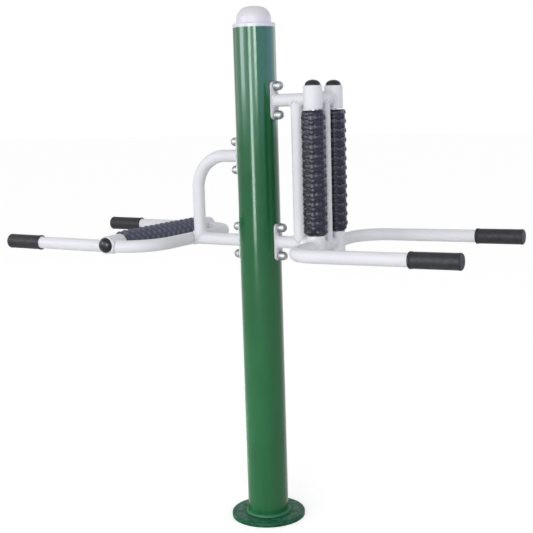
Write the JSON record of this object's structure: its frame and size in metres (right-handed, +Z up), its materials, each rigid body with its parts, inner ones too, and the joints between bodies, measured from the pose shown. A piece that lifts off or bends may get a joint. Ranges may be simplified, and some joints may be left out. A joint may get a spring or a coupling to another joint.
{
  "type": "outdoor back roller station",
  "caption": "Round post with upright knobbed back rollers on one side, a level waist roller on the other, and tube handles with rubber grips on both sides.",
  "frame": {"origin": "on the post's axis, at the underside of the base flange", "axes": "+Z up along the post, +X towards the back rollers, -X towards the waist roller, Y along the waist roller's axis"},
  "size_m": [1.3762, 0.53, 1.4178],
  "materials": {
    "post_paint": "gloss green outdoor paint",
    "frame_paint": "gloss white outdoor paint",
    "cap_plastic": "moulded pale grey plastic",
    "massage_rubber": "moulded dark rubber",
    "grip_rubber": "matt rubber",
    "dust_cap_plastic": "moulded black plastic",
    "bright_steel": "bright plated steel",
    "plain_steel": "turned steel"
  },
  "bodies": {
    "station_frame": {"back_centre_strut": "frame_paint", "back_far_bearings": "plain_steel", "back_far_dust_caps": "dust_cap_plastic", "back_far_grip": "grip_rubber", "back_far_handle": "frame_paint", "back_far_lower_housing": "frame_paint", "back_far_upper_housing": "frame_paint", "back_lower_arm": "frame_paint", "back_lower_cross_tube": "frame_paint", "back_lower_saddle": "frame_paint", "back_near_bearings": "plain_steel", "back_near_dust_caps": "dust_cap_plastic", "back_near_grip": "grip_rubber", "back_near_handle": "frame_paint", "back_near_lower_housing": "frame_paint", "back_near_upper_housing": "frame_paint", "back_post_strut": "frame_paint", "back_upper_arm": "frame_paint", "back_upper_cross_tube": "frame_paint", "back_upper_saddle": "frame_paint", "base_flange": "post_paint", "foot_weld": "post_paint", "post": "post_paint", "post_cap": "cap_plastic", "saddle_bolts": "bright_steel", "saddle_washers": "bright_steel", "saddle_weld_nuts": "plain_steel", "waist_bearings": "plain_steel", "waist_dust_caps": "dust_cap_plastic", "waist_far_grip": "grip_rubber", "waist_far_handle": "frame_paint", "waist_far_housing": "frame_paint", "waist_lower_arm": "frame_paint", "waist_lower_saddle": "frame_paint", "waist_near_grip": "grip_rubber", "waist_near_handle": "frame_paint", "waist_near_housing": "frame_paint", "waist_upper_arm": "frame_paint", "waist_upper_saddle": "frame_paint", "waist_yoke": "frame_paint"},
    "back_roller_near": {"back_near_axle": "plain_steel", "back_near_core_tube": "plain_steel", "back_near_hubs": "plain_steel", "back_near_retaining_rings": "plain_steel", "back_near_massage_rings": "massage_rubber"},
    "back_roller_far": {"back_far_axle": "plain_steel", "back_far_core_tube": "plain_steel", "back_far_hubs": "plain_steel", "back_far_retaining_rings": "plain_steel", "back_far_massage_rings": "massage_rubber"},
    "waist_roller": {"waist_axle": "plain_steel", "waist_core_tube": "plain_steel", "waist_hubs": "plain_steel", "waist_retaining_rings": "plain_steel", "waist_massage_rings": "massage_rubber"}
  },
  "joints": [
    {"name": "back_roller_near_spin", "type": "hinge", "parent": "station_frame", "child": "back_roller_near", "pos_m": [0.205, -0.057, 0.98], "axis": [0, 0, 1], "continuous": true},
    {"name": "back_roller_far_spin", "type": "hinge", "parent": "station_frame", "child": "back_roller_far", "pos_m": [0.205, 0.057, 0.98], "axis": [0, 0, 1], "continuous": true},
    {"name": "waist_roller_spin", "type": "hinge", "parent": "station_frame", "child": "waist_roller", "pos_m": [-0.34, 0, 0.794], "axis": [0, 1, 0], "continuous": true}
  ]
}
